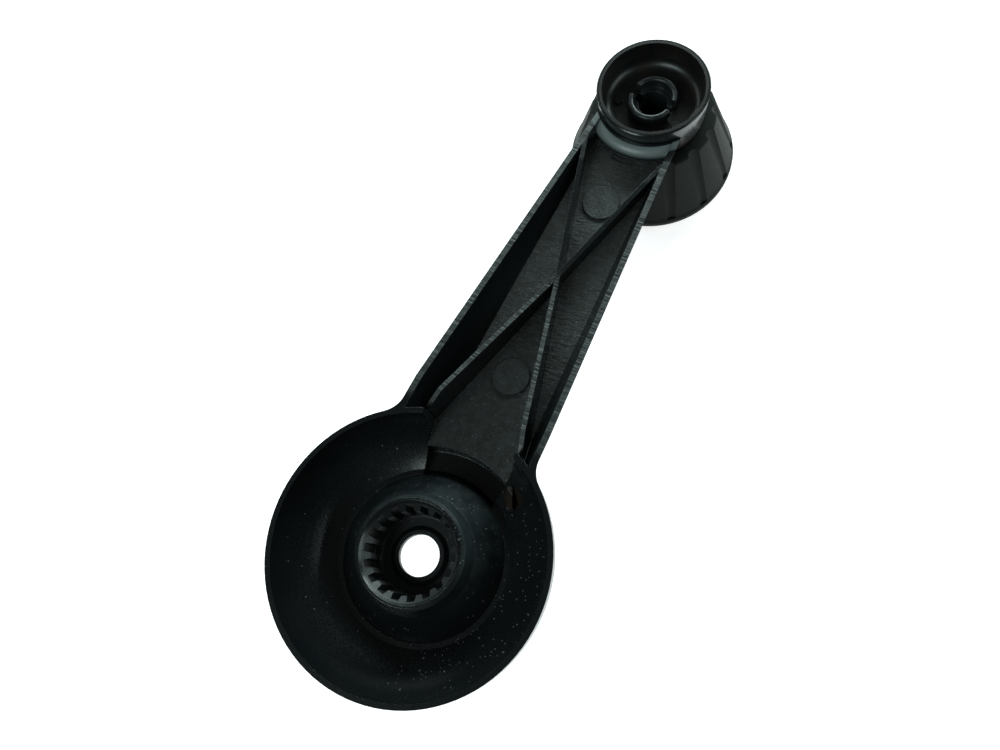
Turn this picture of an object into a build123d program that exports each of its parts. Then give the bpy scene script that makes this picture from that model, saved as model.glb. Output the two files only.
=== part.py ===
"""Winder crank for a window regulator: a moulded arm with a splined hub and a free-turning knob.

Frame: millimetres, origin on the socket axis where the full splines begin.
+Z points out of the socket mouth (towards the door), +X from the hub to the knob.
"""
import os
from math import asin, cos, degrees, hypot, radians, tan

from build123d import *

os.makedirs("parts", exist_ok=True)

# Overall sizes
crank_radius = 100.0            # socket axis to knob axis
dish_radius = 25.0              # round cover at the hub end
cup_radius = 11.1               # round cup at the knob end
knob_radius = 17.7              # widest circle of the knob

# Heights above the start of the splines
dish_rim_z = 3.7
hub_rim_z = 1.7
socket_floor_z = -5.65
screw_seat_z = -7.7
bowl_floor_z = -8.3
dish_front_z = -11.3
arm_floor_z = -5.5
arm_front_z = -7.6
cup_rim_z = 0.0
cup_floor_z = -5.9
cup_front_z = -8.4
knob_front_z = -26.3

# Splined socket and screw hole
spline_count = 18
spline_root_radius = 8.2
spline_depth = 1.0
spline_tip_width = 0.95
spline_root_width = 1.75
spline_overlap = 0.3            # how far the teeth run into the boss
lead_in_rise = 0.3              # height of the lead-in cone past the hub's rim
screw_hole_radius = 3.75
hole_countersink = 0.8          # on the screw's side
groove_depth = 0.65             # in the socket's floor, round the lip of the screw hole
groove_inset = 0.2
lip_width = 0.8
lip_slope = 0.8

# Stepped boss round the socket
hub_wall = 1.1                  # outside the spline roots, at the rim
hub_bevel_width = 0.5
hub_bevel_height = 0.6
step_width = 1.4                # rim to step
step_z = -2.0
step_bevel_width = 0.35
step_bevel_height = 0.45
boss_flare = 4.4                # step to the boss's foot

# Dish shell
dish_edge = 0.95                # thickness of the rim
dish_skirt = 2.5                # straight band below the rim
dish_dome_width = 4.5           # rim to the edge of the flat front
dish_front_fillet = 2.0
bowl_land = 1.0                 # straight band inside the rim
bowl_knee_inset = 2.4
bowl_knee_z = -4.1
bowl_floor_width = 1.0
recess_radius = 12.5            # front recess for a trim cover

# Arm: an open channel with leaning walls
wall = 1.1
wall_lean = radians(20)
arm_front_fillet = 1.5
root_half_width = 13.3          # outside half width of the rear edges, near the dish
root_x = dish_radius + 4.0
rear_root_z = dish_rim_z - 0.12
tip_half_width = 9.4            # the same, near the cup
tip_x = crank_radius - 15.0
rear_tip_z = -2.5
arm_embed = 8.0                 # how far the bar runs into the dish
cup_embed = 5.0                 # how far it stops short of the knob's axis
junction_radius = 4.5           # arm walls blend into the dish
cup_fillet = 2.0                # channel floor into the cup's wall

# Crossed ribs, whose ends slope down into the dish
rib_thickness = 0.85
rib_root_x = dish_radius + 2.5
rib_root_y = 8.4
rib_root_z = 3.0
rib_cross_z = -1.7
rib_tip_x = crank_radius - 14.0
rib_tip_y = 8.1
rib_tip_z = -2.4
rib_foot_x = dish_radius - 3.0
rib_foot_z = 0.6

# Marks on the channel's floor and in the cup
pad_radius = 3.6                # ejector discs
pad_rise = 0.35
pad_root_x = dish_radius + 11.6
pad_tip_x = crank_radius - 24.3
dent_length = 4.7               # shallow dent beside the cup
dent_width = 1.3
dent_depth = 0.4
dent_gap = 0.2
cup_mark_radius = 0.9
cup_mark_rise = 0.3
cup_mark_place = 6.9            # distance from the knob's axis
cup_mark_angle = 103.0
cup_mark_spacing = 142.0

# Way from the channel into the dish
notch_half_width = 9.0
notch_taper = 0.2
notch_x = 22.0                  # where the way has that half width
notch_overrun = 0.3             # past the outside of the dish
shelf_radius = 20.0             # round end of the channel floor inside the dish
moat_floor_z = -9.7             # pocket between the shelf and the boss
fin_x = 16.2                    # small fin beside the pocket
fin_y = -10.2
fin_angle = 26.0
fin_length = 3.4
fin_thickness = 1.0
fin_top_z = -4.8

# Cup
cup_wall = 1.0
cup_draft = 0.3                 # inside, from the rim to the floor's round
cup_round = 1.9
cup_bevel = 0.2
cup_front_inset = 0.7

# Snap pin
pin_radius = 4.0
pin_wall = 1.1
pin_seat_clearance = 0.05       # pin in the arm
pin_running_clearance = 0.08    # knob on the pin
end_play = 0.35                 # knob between the arm and the pin's head
prong_z = -3.3
prong_barb = 0.75               # how far the prongs stand out past the pin
prong_shoulder = 0.8
prong_thickness = 1.15
prong_round = 0.5
prong_spread = 0.4
prong_overlap = 0.3             # how far the pin runs up into the prongs
slot_width = 1.6
slot_angle = 83.0
pin_head_width = 3.0
pin_head_thickness = 1.6
pin_head_round = 0.4

# Knob and cap
knob_neck_radius = 12.8
knob_neck_round = 0.8
knob_band = 3.6                 # height of the smooth band at the wide end
knob_band_step = 0.9
knob_lip_round = 2.2
knob_web = 5.0                  # thickness of the knob's bearing web
knob_pocket_gap = 2.0           # round the pin's head
knob_rim_width = 4.1            # front rim, outside the cap
cap_ledge = 2.0
flute_count = 14
flute_radius = 1.5
flute_depth_neck = 0.85
flute_depth_wide = 0.3
flute_overrun = 3.0
cap_thickness = 1.8
cap_dome = 1.0
cap_bevel = 0.35
cap_clearance = 0.05

# Worked out from the sizes above
spline_tip_radius = spline_root_radius - spline_depth
hub_rim_radius = spline_root_radius + hub_wall
step_radius = hub_rim_radius + step_width
boss_base_radius = step_radius + boss_flare
rim_radius = dish_radius - dish_edge
dish_front_radius = dish_radius - dish_dome_width
arm_start_x = dish_radius - arm_embed
arm_end_x = crank_radius - cup_embed
knob_neck_z = cup_front_z - end_play
web_front_z = knob_neck_z - knob_web
pin_head_z = web_front_z - end_play
above = dish_rim_z + 5.0        # clear of everything on the door's side
knob_axis = Axis((crank_radius, 0, 0), (0, 0, 1))
knob_plane = Plane.XZ.move(Location((crank_radius, 0, 0)))
upright = (Align.CENTER, Align.CENTER, Align.MIN)


def along_arm(x, at_root, at_tip):
    """A value that changes evenly between its root and tip values."""
    return at_root + (at_tip - at_root) * (x - root_x) / (tip_x - root_x)


def rear_edge_z(x):
    """Height of the channel's rear edges at x."""
    return along_arm(x, rear_root_z, rear_tip_z)


def half_width(x, z):
    """Outside half width of the arm at x and height z."""
    return along_arm(x, root_half_width, tip_half_width) - (rear_edge_z(x) - z) * tan(wall_lean)


def channel_section(x, inset, low_z, high_z):
    """Corner points, across the arm, of a section with leaning sides."""
    low = half_width(x, low_z) - inset
    high = half_width(x, high_z) - inset
    return [(-low, low_z), (low, low_z), (high, high_z), (-high, high_z)]


def notch_corners(high_x):
    """Corner points of the tapered way through the dish wall, from the hub's axis to high_x."""
    low = notch_half_width - notch_taper * notch_x
    high = low + notch_taper * high_x
    return [(0, -low), (high_x, -high), (high_x, high), (0, low)]


# ---------------------------------------------------------------- spaces cut from the arm
with BuildPart() as bowl_void:
    with BuildSketch(Plane.XZ):
        with BuildLine():
            bowl_edge = (rim_radius, dish_rim_z - bowl_land)
            bowl_foot = (boss_base_radius + bowl_floor_width, bowl_floor_z)
            Polyline((0, above), (rim_radius, above), bowl_edge)
            ThreePointArc(bowl_edge, (rim_radius - bowl_knee_inset, bowl_knee_z), bowl_foot)
            Polyline(
                bowl_foot,
                (boss_base_radius, bowl_floor_z),
                (step_radius + step_bevel_width, step_z - step_bevel_height),
                (step_radius, step_z),
                (hub_rim_radius + hub_bevel_width, hub_rim_z - hub_bevel_height),
                (hub_rim_radius, hub_rim_z),
                (0, hub_rim_z),
                (0, above),
            )
        make_face()
    revolve(axis=Axis.Z)
    # the channel floor runs in over the bowl as a shelf
    with BuildSketch(Plane.XY.offset(dish_front_z)):
        Polygon(*notch_corners(dish_radius), align=None)
        Circle(dish_radius, mode=Mode.INTERSECT)
        Circle(shelf_radius, mode=Mode.SUBTRACT)
    extrude(amount=arm_floor_z - dish_front_z, mode=Mode.SUBTRACT)
    # small fin between the bowl and the way in
    with BuildSketch(Plane.XY.offset(dish_front_z)):
        with Locations(Location((fin_x, fin_y, 0), (0, 0, fin_angle))):
            SlotCenterToCenter(fin_length, fin_thickness)
    extrude(amount=fin_top_z - dish_front_z, mode=Mode.SUBTRACT)

with BuildPart() as moat_void:
    with BuildSketch(Plane.XY.offset(moat_floor_z)):
        Polygon(*notch_corners(dish_radius), align=None)
        Circle(shelf_radius, mode=Mode.INTERSECT)
    extrude(amount=arm_floor_z - moat_floor_z)
    # the boss's flank runs down into the pocket
    flank_run = (boss_flare - step_bevel_width) / (step_z - step_bevel_height - bowl_floor_z)
    with Locations((0, 0, moat_floor_z)):
        Cone(boss_base_radius + flank_run * (bowl_floor_z - moat_floor_z),
             boss_base_radius + flank_run * (bowl_floor_z - arm_floor_z),
             arm_floor_z - moat_floor_z, align=upright, mode=Mode.SUBTRACT)

with BuildPart() as channel_void:
    for x in (arm_start_x, arm_end_x):
        with BuildSketch(Plane.YZ.offset(x)):
            Polygon(*channel_section(x, wall / cos(wall_lean), arm_floor_z, above), align=None)
    loft()
    # crossed ribs, each drawn on its own upright plane
    rib_slope = (rib_root_y + rib_tip_y) / (rib_tip_x - rib_root_x)
    cross_x = rib_root_x + rib_root_y / rib_slope
    stretch = hypot(1, rib_slope)
    rib_tops = [(rib_foot_x, rib_foot_z), (rib_root_x, rib_root_z), (cross_x, rib_cross_z),
                (crank_radius, rib_tip_z)]
    rib_corners = [((x - rib_foot_x) * stretch, z) for x, z in rib_tops]
    rib_base = [((crank_radius - rib_foot_x) * stretch, arm_front_z), (0, arm_front_z)]
    for side in (1, -1):
        foot = Vector(rib_foot_x, side * rib_slope * (cross_x - rib_foot_x), 0)
        along = Vector(1, -side * rib_slope, 0)
        with BuildSketch(Plane(origin=foot, x_dir=along, z_dir=along.cross(Vector(0, 0, 1)))):
            Polygon(*rib_corners, *rib_base, align=None)
        extrude(amount=rib_thickness / 2, both=True, mode=Mode.SUBTRACT)
    # ejector discs
    with BuildSketch(Plane.XY.offset(arm_floor_z)):
        with Locations((pad_root_x, 0), (pad_tip_x, 0)):
            Circle(pad_radius)
    extrude(amount=pad_rise, mode=Mode.SUBTRACT)
    # dent beside the cup
    with BuildSketch(Plane.XY.offset(arm_floor_z)):
        dent_x = crank_radius - cup_radius - cup_fillet - dent_gap - dent_width / 2
        with Locations((dent_x, 0)):
            RectangleRounded(dent_width, dent_length, dent_width / 4)
    extrude(amount=-dent_depth)
    # the channel stops at the dish and at the cup
    with Locations((0, 0, arm_front_z)):
        Cylinder(dish_radius, above - arm_front_z, align=upright, mode=Mode.SUBTRACT)
    with Locations((crank_radius, 0, arm_front_z)):
        Cylinder(cup_radius, above - arm_front_z, align=upright, mode=Mode.SUBTRACT)
    with BuildSketch(knob_plane):
        with BuildLine():
            fillet_top = (cup_radius, arm_floor_z + cup_fillet)
            fillet_foot = (cup_radius + cup_fillet, arm_floor_z)
            Polyline(fillet_top, (cup_radius - cup_wall, arm_floor_z + cup_fillet),
                     (cup_radius - cup_wall, arm_floor_z), fillet_foot)
            RadiusArc(fillet_foot, fillet_top, -cup_fillet)
        make_face()
    revolve(axis=knob_axis, mode=Mode.SUBTRACT)
    # the way through the wall of the dish
    with BuildSketch(Plane.XY.offset(arm_floor_z)):
        Polygon(*notch_corners(dish_radius + 1), align=None)
        Circle(dish_radius + notch_overrun, mode=Mode.INTERSECT)
        Circle(shelf_radius, mode=Mode.SUBTRACT)
    extrude(amount=above - arm_floor_z)

with BuildPart() as socket_void:
    with BuildSketch(Plane.XZ):
        lip_radius = screw_hole_radius + lip_width
        groove_outer_radius = spline_tip_radius - groove_inset
        Polygon(
            (0, screw_seat_z),
            (screw_hole_radius + hole_countersink, screw_seat_z),
            (screw_hole_radius, screw_seat_z + hole_countersink),
            (screw_hole_radius, socket_floor_z),
            (lip_radius, socket_floor_z),
            (lip_radius + lip_slope, socket_floor_z - groove_depth),
            (groove_outer_radius, socket_floor_z - groove_depth),
            (groove_outer_radius, socket_floor_z),
            (spline_root_radius, socket_floor_z),
            (spline_root_radius, above),
            (0, above),
            align=None,
        )
    revolve(axis=Axis.Z)
    # spline teeth
    with BuildSketch(Plane.XY.offset(socket_floor_z)):
        with PolarLocations(0, spline_count):
            Polygon(
                (spline_tip_radius - spline_overlap, -spline_tip_width / 2),
                (spline_tip_radius, -spline_tip_width / 2),
                (spline_root_radius + spline_overlap, -spline_root_width / 2),
                (spline_root_radius + spline_overlap, spline_root_width / 2),
                (spline_tip_radius, spline_tip_width / 2),
                (spline_tip_radius - spline_overlap, spline_tip_width / 2),
                align=None,
            )
        Circle(spline_tip_radius, mode=Mode.SUBTRACT)
    extrude(amount=hub_rim_z - socket_floor_z, mode=Mode.SUBTRACT)
    # conical lead-in over the spline ends
    lead_in = hub_rim_z + lead_in_rise
    Cone(spline_tip_radius, spline_tip_radius + lead_in, lead_in, align=upright)

with BuildPart() as cup_void:
    with BuildSketch(Plane.XZ):
        cup_inside = cup_radius - cup_wall
        Polygon((0, cup_floor_z), (cup_inside - cup_draft, cup_floor_z), (cup_inside, cup_rim_z),
                (cup_inside, above), (0, above), align=None)
        fillet(vertices().group_by(Axis.Y)[0].sort_by(Axis.X)[-1], cup_round)
    revolve(axis=Axis.Z)
    with Locations((0, 0, 2 * cup_front_z)):
        Cylinder(pin_radius + pin_seat_clearance, -2 * cup_front_z, align=upright)
    # low marks left by the mould's ejector pins
    with BuildSketch(Plane.XY.offset(cup_floor_z)):
        with PolarLocations(cup_mark_place, 2, cup_mark_angle, cup_mark_spacing, endpoint=True):
            Circle(cup_mark_radius)
    extrude(amount=cup_mark_rise, mode=Mode.SUBTRACT)

# ---------------------------------------------------------------- crank arm
with BuildPart() as crank_arm:
    # channel, as a solid bar
    for x in (arm_start_x, arm_end_x):
        with BuildSketch(Plane.YZ.offset(x)):
            Polygon(*channel_section(x, 0, arm_front_z, rear_edge_z(x)), align=None)
    loft()
    fillet(faces().sort_by(Axis.Z)[0].edges().sort_by(SortBy.LENGTH)[-2:], arm_front_fillet)
    with BuildSketch(Plane.XY.offset(dish_rim_z)):
        Rectangle(3 * dish_radius, 3 * dish_radius)
    extrude(amount=above, mode=Mode.SUBTRACT)
    # dish, as a solid dome
    with BuildSketch(Plane.XZ):
        with BuildLine():
            skirt_foot = (dish_radius, dish_rim_z - dish_skirt)
            dome_foot = (dish_front_radius, dish_front_z)
            Polyline((0, dish_front_z), (0, dish_rim_z), (dish_radius, dish_rim_z), skirt_foot)
            TangentArc(skirt_foot, dome_foot, tangent=(0, -1))
            Line(dome_foot, (0, dish_front_z))
        make_face()
    revolve(axis=Axis.Z)
    fillet(faces().sort_by(Axis.Z)[0].edges().filter_by(GeomType.CIRCLE), dish_front_fillet)
    # recess in its front for a trim cover
    with BuildSketch(Plane.XY.offset(dish_front_z)):
        Circle(recess_radius)
    extrude(amount=screw_seat_z - dish_front_z, mode=Mode.SUBTRACT)
    # the arm's flanks blend into the dish
    flanks = edges().filter_by(
        lambda edge: arm_start_x < edge.center().X < dish_radius
        and abs(edge.center().Y) > notch_half_width
        and edge.center().Z < dish_rim_z - dish_skirt / 4
        and edge.length < dish_radius
    )
    fillet(flanks, junction_radius)
    # cup, as a solid boss
    with BuildSketch(knob_plane):
        Polygon(
            (0, cup_front_z),
            (cup_radius - cup_front_inset, cup_front_z),
            (cup_radius, cup_rim_z - cup_bevel),
            (cup_radius - cup_bevel, cup_rim_z),
            (0, cup_rim_z),
            align=None,
        )
    revolve(axis=knob_axis)
    add(bowl_void.part, mode=Mode.SUBTRACT)
    add(moat_void.part, mode=Mode.SUBTRACT)
    add(channel_void.part, mode=Mode.SUBTRACT)
    add(socket_void.part, mode=Mode.SUBTRACT)
    with Locations((crank_radius, 0, 0)):
        add(cup_void.part, mode=Mode.SUBTRACT)
crank_arm.part.label = "crank_arm"
export_step(crank_arm.part, "parts/crank_arm.step")

# ---------------------------------------------------------------- snap pin
pin_bore_radius = pin_radius - pin_wall
prong_radius = pin_radius + prong_barb
prong_bore_radius = prong_radius - prong_thickness
pin_head_radius = pin_radius + pin_head_width

with BuildPart() as prong_ring:
    # barbed end, as half a ring about its own axis
    with BuildSketch(Plane.XZ):
        Polygon(
            (prong_bore_radius, cup_floor_z),
            (pin_radius, cup_floor_z),
            (prong_radius, cup_floor_z + prong_shoulder),
            (prong_radius, prong_z),
            (prong_bore_radius, prong_z),
            align=None,
        )
        fillet(vertices().group_by(Axis.Y)[-1], prong_round)
    revolve(axis=Axis.Z)
    split(bisect_by=Plane.YZ, keep=Keep.TOP)
    with Locations((0, 0, prong_z)):
        Box(slot_width, 3 * prong_radius, 3 * abs(prong_z), mode=Mode.SUBTRACT)

with BuildPart() as snap_pin:
    with BuildSketch(knob_plane):
        Polygon(
            (pin_bore_radius, pin_head_z - pin_head_thickness),
            (pin_head_radius, pin_head_z - pin_head_thickness),
            (pin_head_radius, pin_head_z),
            (pin_radius, pin_head_z),
            (pin_radius, cup_floor_z + prong_overlap),
            (pin_bore_radius, cup_floor_z + prong_overlap),
            align=None,
        )
        fillet(vertices().group_by(Axis.Y)[0].sort_by(Axis.X)[-1], pin_head_round)
    revolve(axis=knob_axis)
    with Locations(Location((crank_radius, 0, cup_floor_z), (0, 0, slot_angle))):
        Box(3 * prong_radius, slot_width, 2 * (cup_floor_z - cup_front_z), mode=Mode.SUBTRACT)
    for turn in (slot_angle + 90, slot_angle - 90):
        with Locations(Location((crank_radius, 0, 0), (0, 0, turn))):
            with Locations((prong_spread, 0, 0)):
                add(prong_ring.part)
snap_pin.part.label = "snap_pin"
export_step(snap_pin.part, "parts/snap_pin.step")

# ---------------------------------------------------------------- knob
bearing_radius = pin_radius + pin_running_clearance
cap_radius = knob_radius - knob_rim_width
cap_seat_z = knob_front_z + cap_thickness
band_z = knob_front_z + knob_band
band_radius = knob_radius - knob_band_step / 2
with BuildPart() as knob_body:
    with BuildSketch(knob_plane):
        Polygon(
            (bearing_radius, web_front_z),
            (bearing_radius, knob_neck_z),
            (knob_neck_radius, knob_neck_z),
            (band_radius, band_z),
            (knob_radius, band_z - knob_band_step),
            (knob_radius, knob_front_z),
            (cap_radius + cap_clearance, knob_front_z),
            (cap_radius + cap_clearance, cap_seat_z),
            (cap_radius - cap_ledge, cap_seat_z),
            (pin_head_radius + knob_pocket_gap, web_front_z),
            align=None,
        )
        fillet(vertices().group_by(Axis.Y)[-1].sort_by(Axis.X)[-1], knob_neck_round)
        fillet(vertices().group_by(Axis.Y)[0].sort_by(Axis.X)[-1], knob_lip_round)
    revolve(axis=knob_axis)
    # flutes, shallower towards the wide end
    flute_top = Vector(knob_neck_radius + flute_radius - flute_depth_neck, 0, knob_neck_z)
    flute_low = Vector(band_radius + flute_radius - flute_depth_wide, 0, band_z)
    along = (flute_low - flute_top).normalized()
    flute_start = flute_top - along * flute_overrun
    flute_plane = Plane(origin=flute_start, z_dir=along)
    with Locations((crank_radius, 0, 0)):
        with PolarLocations(0, flute_count, start_angle=180 / flute_count):
            with Locations(flute_plane.location):
                Cylinder(flute_radius, (flute_low - flute_start).length, align=upright, mode=Mode.SUBTRACT)
knob_body.part.label = "knob_body"
export_step(knob_body.part, "parts/knob_body.step")

# ---------------------------------------------------------------- knob cap
dome_edge = cap_radius - cap_bevel
dome_radius = (dome_edge ** 2 + cap_dome ** 2) / (2 * cap_dome)
with BuildPart() as knob_cap:
    with BuildSketch(knob_plane):
        with BuildLine():
            apex = (0, knob_front_z - cap_dome)
            dome_centre = (0, knob_front_z - cap_dome + dome_radius)
            Polyline(apex, (0, cap_seat_z), (cap_radius, cap_seat_z),
                     (cap_radius, knob_front_z + cap_bevel), (dome_edge, knob_front_z))
            CenterArc(dome_centre, dome_radius, -90, degrees(asin(dome_edge / dome_radius)))
        make_face()
    revolve(axis=knob_axis)
knob_cap.part.label = "knob_cap"
export_step(knob_cap.part, "parts/knob_cap.step")
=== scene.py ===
import math
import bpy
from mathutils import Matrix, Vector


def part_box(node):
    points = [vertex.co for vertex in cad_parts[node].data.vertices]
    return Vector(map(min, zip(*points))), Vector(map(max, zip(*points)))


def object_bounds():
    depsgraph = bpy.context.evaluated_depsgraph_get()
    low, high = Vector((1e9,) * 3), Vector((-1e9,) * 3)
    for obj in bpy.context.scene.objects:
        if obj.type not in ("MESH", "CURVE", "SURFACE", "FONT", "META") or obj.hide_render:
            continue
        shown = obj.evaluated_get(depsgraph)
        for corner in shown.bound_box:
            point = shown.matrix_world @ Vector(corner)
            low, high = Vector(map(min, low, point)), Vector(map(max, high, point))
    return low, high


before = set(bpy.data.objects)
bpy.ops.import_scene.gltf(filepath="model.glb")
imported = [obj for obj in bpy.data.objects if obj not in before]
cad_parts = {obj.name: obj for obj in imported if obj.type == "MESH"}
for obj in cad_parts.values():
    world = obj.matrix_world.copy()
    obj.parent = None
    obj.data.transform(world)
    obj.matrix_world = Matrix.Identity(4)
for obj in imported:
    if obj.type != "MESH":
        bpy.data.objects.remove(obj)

from types import SimpleNamespace

import bpy
from mathutils import Vector

MM = 0.001
cad_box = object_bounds()

# Landmarks of the arm, in millimetres, in the CAD frame. Its x runs from the hub to the knob.
DISH_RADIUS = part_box("crank_arm")[1].y / MM
KNOB_X = (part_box("knob_body")[0].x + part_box("knob_body")[1].x) / 2 / MM
FLOOR_Z = -5.5            # floor of the arm's channel
SHELF_RADIUS = 20.0       # where that floor ends over the dish
TOPS_Z = -3.6             # the ribs' tops and the rear edges are all above this
WALL_TAPER = 0.0696       # how fast the arm narrows towards the cup
WALL_INNER = 14.1         # inner edge of the wall's top, carried back to x = 0
BOSS_RADIUS = 15.1        # at the boss's foot
BOSS_TOP_RADIUS = 9.2     # edge of the socket's rim, where the boss's flank starts
BOSS_STEP_RADIUS = 10.7
SOCKET_RADIUS = 8.2
CUP_RADIUS = 11.1
FILLET_REACH = 1.6        # how far the painted highlight on the fillet at the cup's foot reaches from the cup
CROSS_X = 57.3            # where the ribs cross
PADS_X = (36.6, 75.7)     # the ejector discs
PAD_RADIUS = 3.6
FIN_PLACE = (16.2, -10.2) # the stained fin beside the boss

# Base colours, linear
COOL_BLACK = (0.0042, 0.0052, 0.0060)
NEUTRAL_BLACK = (0.0055, 0.0062, 0.0066)
WARM_BLACK = (0.0095, 0.0085, 0.0058)
CUP_BROWN = (0.0105, 0.0076, 0.0060)
FIN_BROWN = (0.013, 0.009, 0.0065)
# lighter grey on the rubbed tops: partly wear, partly a painted highlight
WORN_AND_HIGHLIGHT_GREY = (0.016, 0.018, 0.019)
# the boss's dusty film, lightened as a painted sheen
FILM_AND_SHEEN_GREY = (0.016, 0.021, 0.023)
PAD_GREY = (0.016, 0.018, 0.018)
# a painted highlight along the fillet at the cup's foot
FILLET_HIGHLIGHT_GREY = (0.150, 0.172, 0.172)
# painted glints: pale flecks on the channel floor
GLINT_GREY = (0.06, 0.065, 0.06)
DUST_GREY = (0.10, 0.115, 0.115)
PIN_GREYS = ((0.008, 0.009, 0.010), (0.012, 0.014, 0.015))
KNOB_GREENS = ((0.0045, 0.0066, 0.0052), (0.0068, 0.0092, 0.0074))

# Radii of the edges that the shading rounds, and depths of the relief, in millimetres
ARM_EDGE = 0.13
CRISP_EDGE = 0.03         # on the dish and on the cup's rim
PIN_EDGE = 0.15
KNOB_EDGE = 0.3
GRAIN_DEPTH = 0.005
RIPPLE_DEPTH = 0.015
STREAK_DEPTH = 0.38
PIT_DEPTH = 0.10
TICK_DEPTH = 0.07
SCRATCH_DEPTH = 0.35
PIN_GRAIN_DEPTH = 0.01
KNOB_GRAIN_DEPTH = 0.012

# The studio, in metres and watts
FLOOR_HALF = 3.0
FLOOR_GAP = 0.0002        # the floor stays this far below the object
FLOOR_GLOW = 0.8
SURROUND_LIGHT = 0.05     # the light that the surround gives
SURROUND_SEEN = 0.85      # how bright it looks when seen directly
LAMP_DISTANCE = 0.6
DAYLIGHT = (0.80, 1.0, 0.98)
LAMPS = (                 # name, direction from the object, width and height, power
    ("window_softbox", (0.88, 0.24, 0.40), (0.90, 0.16), 5.8),
    ("ceiling_softbox", (-0.70, 0.20, 0.68), (0.26, 0.26), 1.6),
    ("fill_softbox", (0.30, -0.80, 0.50), (0.40, 0.30), 1.0),
    ("side_softbox", (0.15, 0.90, 0.36), (0.40, 0.20), 0.9),
)

# The camera, fitted to the photo
CAMERA_PLACE = (6.85, -38.78, 139.80)    # in millimetres
CAMERA_ANGLES = (16.908, 8.967, -62.684)
SENSOR_WIDTH = 36.0
LENS_LENGTH = 29.47
NEAREST_SEEN = 0.005      # in metres


class Finish:
    """A material's node tree, with short ways to add and join nodes. Lengths in it are in millimetres."""

    def __init__(self, name):
        self.material = bpy.data.materials.new(name)
        self.material.use_nodes = True
        self.tree = self.material.node_tree
        self.tree.nodes.clear()
        self.shader = self.tree.nodes.new("ShaderNodeBsdfPrincipled")
        output = self.tree.nodes.new("ShaderNodeOutputMaterial")
        self.tree.links.new(self.shader.outputs["BSDF"], output.inputs["Surface"])
        coordinates = self.tree.nodes.new("ShaderNodeTexCoord")
        self.place = self.vector("SCALE", coordinates.outputs["Object"], scale=1 / MM)
        self.x, self.y, self.z = self.parts(self.place)
        self.facing_up = self.parts(coordinates.outputs["Normal"])[2]

    def put(self, socket, value):
        """Links a node's output to the socket, or sets the socket to a number or colour."""
        if isinstance(value, bpy.types.NodeSocket):
            self.tree.links.new(value, socket)
        else:
            socket.default_value = value

    def math(self, operation, *values):
        """The result of a maths operation on sockets or numbers."""
        node = self.tree.nodes.new("ShaderNodeMath")
        node.operation = operation
        for socket, value in zip(node.inputs, values):
            self.put(socket, value)
        return node.outputs[0]

    def vector(self, operation, *values, scale=None):
        """The result of a vector operation on sockets or vectors."""
        node = self.tree.nodes.new("ShaderNodeVectorMath")
        node.operation = operation
        for socket, value in zip(node.inputs, values):
            self.put(socket, value)
        if scale is not None:
            node.inputs["Scale"].default_value = scale
        return node.outputs["Value"] if operation == "DISTANCE" else node.outputs["Vector"]

    def parts(self, vector):
        """The x, y and z of a vector."""
        node = self.tree.nodes.new("ShaderNodeSeparateXYZ")
        self.put(node.inputs[0], vector)
        return node.outputs

    def from_axis(self, x):
        """The distance from an upright axis that passes through (x, 0)."""
        run = self.math("SUBTRACT", self.x, x)
        return self.math("SQRT", self.math("ADD", self.math("MULTIPLY", run, run),
                                           self.math("MULTIPLY", self.y, self.y)))

    def ramp(self, value, low, high, start=0.0, end=1.0):
        """start below low, end above high, and a smooth step between them."""
        node = self.tree.nodes.new("ShaderNodeMapRange")
        node.interpolation_type = "SMOOTHSTEP"
        for socket, number in zip(node.inputs, (value, low, high, start, end)):
            self.put(socket, number)
        return node.outputs["Result"]

    def under(self, value, low, high):
        """A mask that is 1 below low and 0 above high."""
        return self.ramp(value, low, high, 1.0, 0.0)

    def both(self, *masks):
        """The product of several masks or numbers."""
        result = masks[0]
        for mask in masks[1:]:
            result = self.math("MULTIPLY", result, mask)
        return result

    def either(self, first, second):
        """The larger of two masks."""
        return self.math("MAXIMUM", first, second)

    def turned(self, angle, stretch):
        """The place, turned about Z by an angle in degrees and then stretched."""
        node = self.tree.nodes.new("ShaderNodeMapping")
        node.inputs["Rotation"].default_value = (0, 0, math.radians(angle))
        self.put(node.inputs["Vector"], self.place)
        return self.vector("MULTIPLY", node.outputs[0], stretch)

    def noise(self, scale, detail=3.0, roughness=0.55, distortion=0.0, place=None):
        """A cloudy pattern, about 0 to 1: scale is how many blotches there are to a millimetre."""
        node = self.tree.nodes.new("ShaderNodeTexNoise")
        self.put(node.inputs["Vector"], place or self.place)
        node.inputs["Scale"].default_value = scale
        node.inputs["Detail"].default_value = detail
        node.inputs["Roughness"].default_value = roughness
        node.inputs["Distortion"].default_value = distortion
        return node.outputs["Fac"]

    def specks(self, pitch, size, keep):
        """Small dots seen from above, at most one in each cell of that pitch.

        keep is the share of the cells that have one.
        """
        cells = self.tree.nodes.new("ShaderNodeTexVoronoi")
        cells.voronoi_dimensions = "2D"
        self.put(cells.inputs["Vector"], self.place)
        cells.inputs["Scale"].default_value = 1 / pitch
        cells.inputs["Randomness"].default_value = 1.0
        chosen = self.math("LESS_THAN", self.parts(cells.outputs["Color"])[0], keep)
        dot = self.under(cells.outputs["Distance"], size / pitch * 0.5, size / pitch)
        return self.both(chosen, dot)

    def mix(self, share, first, second):
        """A blend of two colours: share is how much of the second one there is."""
        node = self.tree.nodes.new("ShaderNodeMix")
        node.data_type = "RGBA"
        self.put(node.inputs[0], share)
        self.put(node.inputs[6], (*first, 1) if isinstance(first, tuple) else first)
        self.put(node.inputs[7], (*second, 1) if isinstance(second, tuple) else second)
        return node.outputs[2]

    def bump(self, height, depth, normal):
        """A normal from a height of 0 to 1 that stands for depth, laid over another normal."""
        node = self.tree.nodes.new("ShaderNodeBump")
        node.inputs["Distance"].default_value = depth * MM
        self.put(node.inputs["Height"], height)
        self.put(node.inputs["Normal"], normal)
        return node.outputs[0]

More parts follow.
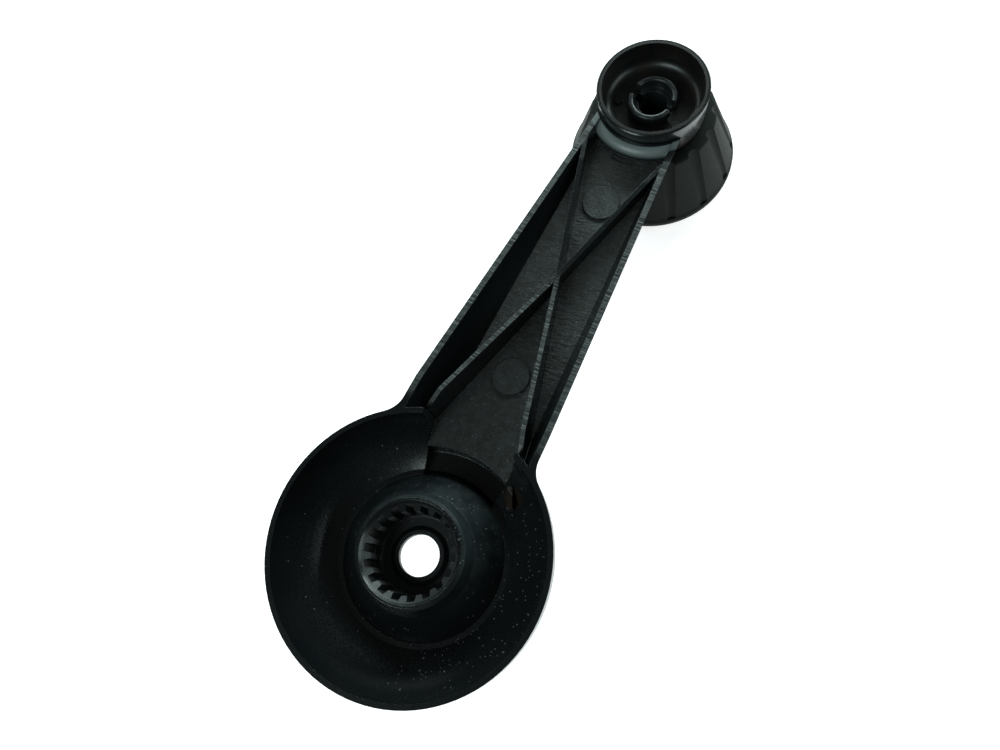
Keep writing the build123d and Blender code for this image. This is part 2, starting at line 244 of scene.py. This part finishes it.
    def soft_edges(self, radius):
        """A normal that rounds the sharp edges of a moulding, by a radius in metres."""
        node = self.tree.nodes.new("ShaderNodeBevel")
        node.samples = 6
        self.put(node.inputs["Radius"], radius)
        return node.outputs[0]


def arm_zones(f):
    """Masks of the arm's regions, from its landmarks, and its distances from both axes."""
    up = f.ramp(f.facing_up, 0.75, 0.92)
    from_hub = f.from_axis(0.0)
    from_knob = f.from_axis(KNOB_X)
    past_shelf = f.ramp(from_hub, SHELF_RADIUS - 0.3, SHELF_RADIUS)
    on_arm = f.both(past_shelf, f.ramp(from_knob, CUP_RADIUS, CUP_RADIUS + 0.3))
    off_fillet = f.ramp(from_knob, CUP_RADIUS + FILLET_REACH - 0.1, CUP_RADIUS + FILLET_REACH + 0.4)
    near_floor = f.under(f.z, FLOOR_Z + 0.5, FLOOR_Z + 0.8)
    high = f.ramp(f.z, TOPS_Z - 0.2, TOPS_Z)
    past_dish = f.ramp(f.x, DISH_RADIUS - 2, DISH_RADIUS + 1)

    tops = f.both(up, on_arm, high, past_dish)
    edge_run = f.math("ADD", f.math("ABSOLUTE", f.y), f.both(f.x, WALL_TAPER))
    on_wall = f.ramp(edge_run, WALL_INNER - 0.3, WALL_INNER)
    # the tops are rubbed dull and lighter, partly tool wear and partly a painted highlight, except on the
    # ribs' half near the cup; along the walls the painted highlight fades towards the knob
    wall_wear_and_highlight = f.both(on_wall, f.ramp(f.x, CROSS_X - 20, KNOB_X - 12, 0.9, 0.45))
    rib_wear_and_highlight = f.ramp(f.x, CROSS_X - 14, CROSS_X + 5, 1.0, 0.1)

    by_cup = f.under(from_knob, CUP_RADIUS + FILLET_REACH, CUP_RADIUS + FILLET_REACH + 0.5)
    low = f.under(f.z, FLOOR_Z + 2.2, FLOOR_Z + 2.8)
    on_boss = f.both(f.under(from_hub, BOSS_RADIUS - 0.5, BOSS_RADIUS + 0.5),
                     f.ramp(from_hub, BOSS_TOP_RADIUS, BOSS_TOP_RADIUS + 0.6))
    return SimpleNamespace(
        from_hub=from_hub,
        from_knob=from_knob,
        channel=f.both(up, on_arm, off_fillet, near_floor),
        rubbed_and_highlit=f.both(tops, f.either(wall_wear_and_highlight, rib_wear_and_highlight)),
        # a painted highlight on the fillet at the cup's foot
        fillet_highlight=f.both(by_cup, on_arm, low, f.ramp(f.facing_up, 0.1, 0.3)),
        in_cup=f.under(from_knob, CUP_RADIUS - 0.6, CUP_RADIUS - 0.3),
        in_dish=f.under(from_hub, DISH_RADIUS - 1.2, DISH_RADIUS - 0.9),
        in_socket=f.under(from_hub, SOCKET_RADIUS + 0.2, SOCKET_RADIUS + 0.4),
        # a dusty film on the boss's flank, on its side towards the arm, which is also a painted sheen on
        # that side
        film_and_sheen=f.both(on_boss, f.ramp(f.x, -9.0, 9.0), f.ramp(f.noise(0.3), 0.3, 0.65, 0.4, 1.0)),
        pads=arm_pads(f),
    )


def arm_pads(f):
    """A mask of the ejector discs."""
    pads = 0.0
    for x in PADS_X:
        pads = f.math("ADD", f.under(f.from_axis(x), PAD_RADIUS - 0.15, PAD_RADIUS), pads)
    return pads


def arm_patterns(f):
    """The noises that the arm's relief, colour and roughness share."""
    return SimpleNamespace(
        grain=f.noise(2.6, 4.0, 0.6),
        mottle=f.ramp(f.noise(0.8, 4.0, 0.65, 0.5), 0.36, 0.64),
        ticks=f.noise(1.0, 2.0, 0.5, place=f.vector("MULTIPLY", f.place, (2.4, 0.12, 0.1))),
        scratches=f.noise(1.0, 4.0, 0.6, 0.3, place=f.turned(38, (3.2, 0.25, 1.0))),
    )


def arm_normal(f, zone, pattern):
    """Soft edges with the fine relief over them."""
    # the dish outside the boss's step, and the cup's rim, are crisper than the rest
    dish_shell = f.both(f.ramp(zone.from_hub, BOSS_STEP_RADIUS + 0.3, BOSS_STEP_RADIUS + 0.8),
                        f.under(f.x, DISH_RADIUS - 5, DISH_RADIUS - 3))
    cup_rim = f.both(f.ramp(zone.from_knob, CUP_RADIUS - 1.6, CUP_RADIUS - 1.4),
                     f.under(zone.from_knob, CUP_RADIUS + 0.1, CUP_RADIUS + 0.2))
    crisp = f.either(dish_shell, cup_rim)
    streaks = f.noise(1.0, 5.0, 0.62, 0.4, place=f.turned(-12, (2.2, 0.6, 1.0)))
    pits = f.ramp(f.noise(1.7, 2.0, 0.5), 0.58, 0.75)

    normal = f.soft_edges(f.ramp(crisp, 0.0, 1.0, ARM_EDGE * MM, CRISP_EDGE * MM))
    normal = f.bump(pattern.grain, GRAIN_DEPTH, normal)
    normal = f.bump(f.noise(0.35, 2.0, 0.5), RIPPLE_DEPTH, normal)
    normal = f.bump(f.both(streaks, zone.channel), STREAK_DEPTH, normal)
    normal = f.bump(f.both(pits, zone.channel), PIT_DEPTH, normal)
    normal = f.bump(f.both(f.ramp(pattern.ticks, 0.35, 0.65), zone.rubbed_and_highlit), TICK_DEPTH, normal)
    return f.bump(f.both(pattern.scratches, zone.pads, zone.channel), SCRATCH_DEPTH, normal)


def arm_dust(f, zone):
    """A mask of the specks of dust that gathered on one side of the dish and on the boss."""
    side = f.ramp(f.y, -19.0, 4.0, 1.0, 0.12)
    patchy = f.ramp(f.noise(0.17, 2.0), 0.45, 0.62, 0.15, 1.0)
    thick = f.either(f.both(side, patchy), f.both(zone.film_and_sheen, 0.6))
    fine = f.specks(0.6, 0.13, f.both(thick, 0.24))
    coarse = f.specks(1.9, 0.20, f.both(thick, 0.2))
    return f.both(zone.in_dish, f.ramp(f.facing_up, 0.2, 0.6), f.either(fine, coarse))


def arm_colour(f, zone, pattern):
    """Near-black plastic under its wear, film and dust, with painted highlights on the rubbed tops, the
    boss's flank and the cup's fillet, and painted glints on the channel floor. Each layer lies over those
    before it.
    """
    patches = f.ramp(f.noise(0.2, 4.0), 0.3, 0.7, 0.3, 1.0)
    from_fin = f.vector("DISTANCE", f.place, (*FIN_PLACE, FLOOR_Z))
    layers = (
        (f.ramp(f.noise(0.12), 0.35, 0.65), NEUTRAL_BLACK),
        (f.both(zone.channel, patches, pattern.mottle), WARM_BLACK),
        (f.both(zone.in_cup, f.ramp(f.noise(0.3), 0.3, 0.7)), CUP_BROWN),
        # rubbed tops: wear with tool ticks, and a painted highlight along them
        (f.both(zone.rubbed_and_highlit, f.ramp(pattern.ticks, 0.35, 0.65, 0.35, 1.0)), WORN_AND_HIGHLIGHT_GREY),
        # dusty film with a painted sheen on the boss's flank
        (zone.film_and_sheen, FILM_AND_SHEEN_GREY),
        # painted highlight on the fillet at the cup's foot
        (zone.fillet_highlight, FILLET_HIGHLIGHT_GREY),
        (f.under(from_fin, 2.0, 2.6), FIN_BROWN),
        (f.both(zone.pads, zone.channel, f.ramp(pattern.scratches, 0.35, 0.65, 0.2, 1.0)), PAD_GREY),
        # painted glints: pale flecks scattered on the channel floor
        (f.both(zone.channel, f.specks(0.9, 0.16, 0.16)), GLINT_GREY),
        (arm_dust(f, zone), DUST_GREY),
    )
    colour = COOL_BLACK
    for share, layer in layers:
        colour = f.mix(share, colour, layer)
    return colour


def arm_roughness(f, zone, pattern):
    """Satin, and rougher by each zone's own amount."""
    additions = (
        f.both(zone.channel, f.ramp(pattern.mottle, 0.0, 1.0, 0.24, 0.42)),
        f.both(zone.rubbed_and_highlit, 0.20),
        f.both(zone.film_and_sheen, 0.18),
        f.both(zone.fillet_highlight, 0.15),
        f.both(zone.in_dish, 0.03),
        f.both(f.either(zone.in_cup, zone.in_socket), 0.16),
        f.both(zone.channel, f.ramp(f.x, SHELF_RADIUS, 42.0, 0.16, 0.0)),
    )
    roughness = f.ramp(pattern.grain, 0.3, 0.7, 0.18, 0.26)
    for addition in additions:
        roughness = f.math("ADD", roughness, addition)
    return roughness


def arm_plastic():
    """Near-black moulding: satin dish, streaky channel floor, tool-marked rear edges and ribs."""
    f = Finish("arm_plastic")
    zone = arm_zones(f)
    pattern = arm_patterns(f)
    f.put(f.shader.inputs["Normal"], arm_normal(f, zone, pattern))
    f.put(f.shader.inputs["Base Color"], arm_colour(f, zone, pattern))
    f.put(f.shader.inputs["Roughness"], arm_roughness(f, zone, pattern))
    f.shader.inputs["IOR"].default_value = 1.49
    f.shader.inputs["Specular IOR Level"].default_value = 0.5
    return f.material


def pin_plastic():
    """Dark grey hard plastic, smooth, with light moulding marks."""
    f = Finish("pin_plastic")
    smear = f.noise(0.9)
    f.put(f.shader.inputs["Base Color"], f.mix(f.ramp(smear, 0.3, 0.7), *PIN_GREYS))
    f.put(f.shader.inputs["Roughness"], f.ramp(smear, 0.3, 0.7, 0.28, 0.4))
    f.put(f.shader.inputs["Normal"], f.bump(f.noise(3.0), PIN_GRAIN_DEPTH, f.soft_edges(PIN_EDGE * MM)))
    f.shader.inputs["IOR"].default_value = 1.5
    return f.material


def knob_plastic():
    """Matte near-black plastic with a green-grey cast and a fine moulded grain."""
    f = Finish("knob_plastic")
    grain = f.noise(4.5, 3.0, 0.6)
    f.put(f.shader.inputs["Base Color"], f.mix(f.ramp(f.noise(0.25), 0.3, 0.7), *KNOB_GREENS))
    f.put(f.shader.inputs["Roughness"], f.ramp(grain, 0.3, 0.7, 0.5, 0.62))
    f.put(f.shader.inputs["Normal"], f.bump(grain, KNOB_GRAIN_DEPTH, f.soft_edges(KNOB_EDGE * MM)))
    f.shader.inputs["IOR"].default_value = 1.47
    f.shader.inputs["Specular IOR Level"].default_value = 0.12
    return f.material


def dress(material, *nodes):
    """Gives a material to CAD nodes."""
    for node in nodes:
        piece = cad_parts[node]
        piece.data.materials.clear()
        piece.data.materials.append(material)


def camera():
    """The photo's viewpoint."""
    data = bpy.data.cameras.new("camera")
    data.sensor_width = SENSOR_WIDTH
    data.lens = LENS_LENGTH
    data.clip_start = NEAREST_SEEN
    view = bpy.data.objects.new("camera", data)
    view.location = Vector(CAMERA_PLACE) * MM
    view.rotation_euler = [math.radians(angle) for angle in CAMERA_ANGLES]
    bpy.context.scene.collection.objects.link(view)
    bpy.context.scene.camera = view


def white_floor():
    """A square floor just under the knob."""
    height = cad_box[0].z - FLOOR_GAP
    corners = [(x * FLOOR_HALF, y * FLOOR_HALF, height) for x, y in ((-1, -1), (1, -1), (1, 1), (-1, 1))]
    mesh = bpy.data.meshes.new("floor")
    mesh.from_pydata(corners, [], [(0, 1, 2, 3)])
    floor = bpy.data.objects.new("floor", mesh)
    bpy.context.scene.collection.objects.link(floor)
    f = Finish("floor_white")
    f.shader.inputs["Base Color"].default_value = (0.85, 0.85, 0.85, 1)
    f.shader.inputs["Roughness"].default_value = 0.9
    f.shader.inputs["Emission Color"].default_value = (1, 1, 1, 1)
    f.shader.inputs["Emission Strength"].default_value = FLOOR_GLOW
    mesh.materials.append(f.material)


def surround():
    """A world that is pale when seen directly, but gives little light."""
    world = bpy.data.worlds.new("surround")
    world.use_nodes = True
    bpy.context.scene.world = world
    tree = world.node_tree
    background = tree.nodes["Background"]
    background.inputs["Color"].default_value = (1, 1, 1, 1)
    seen = tree.nodes.new("ShaderNodeMapRange")
    seen.inputs["To Min"].default_value = SURROUND_LIGHT
    seen.inputs["To Max"].default_value = SURROUND_SEEN
    tree.links.new(tree.nodes.new("ShaderNodeLightPath").outputs["Is Camera Ray"], seen.inputs["Value"])
    tree.links.new(seen.outputs["Result"], background.inputs["Strength"])


def softbox(name, direction, size, watts):
    """A rectangular area light that faces the middle of the object."""
    data = bpy.data.lights.new(name, "AREA")
    data.shape = "RECTANGLE"
    data.size, data.size_y = size
    data.energy = watts
    data.color = DAYLIGHT
    light = bpy.data.objects.new(name, data)
    middle = (cad_box[0] + cad_box[1]) / 2
    towards = Vector(direction).normalized()
    light.location = middle + towards * LAMP_DISTANCE
    light.rotation_euler = towards.to_track_quat("Z", "Y").to_euler()
    bpy.context.scene.collection.objects.link(light)


camera()
white_floor()
surround()
for lamp in LAMPS:
    softbox(*lamp)
bpy.context.scene.view_settings.view_transform = "Standard"

dress(arm_plastic(), "crank_arm")
dress(pin_plastic(), "snap_pin")
dress(knob_plastic(), "knob_body", "knob_cap")
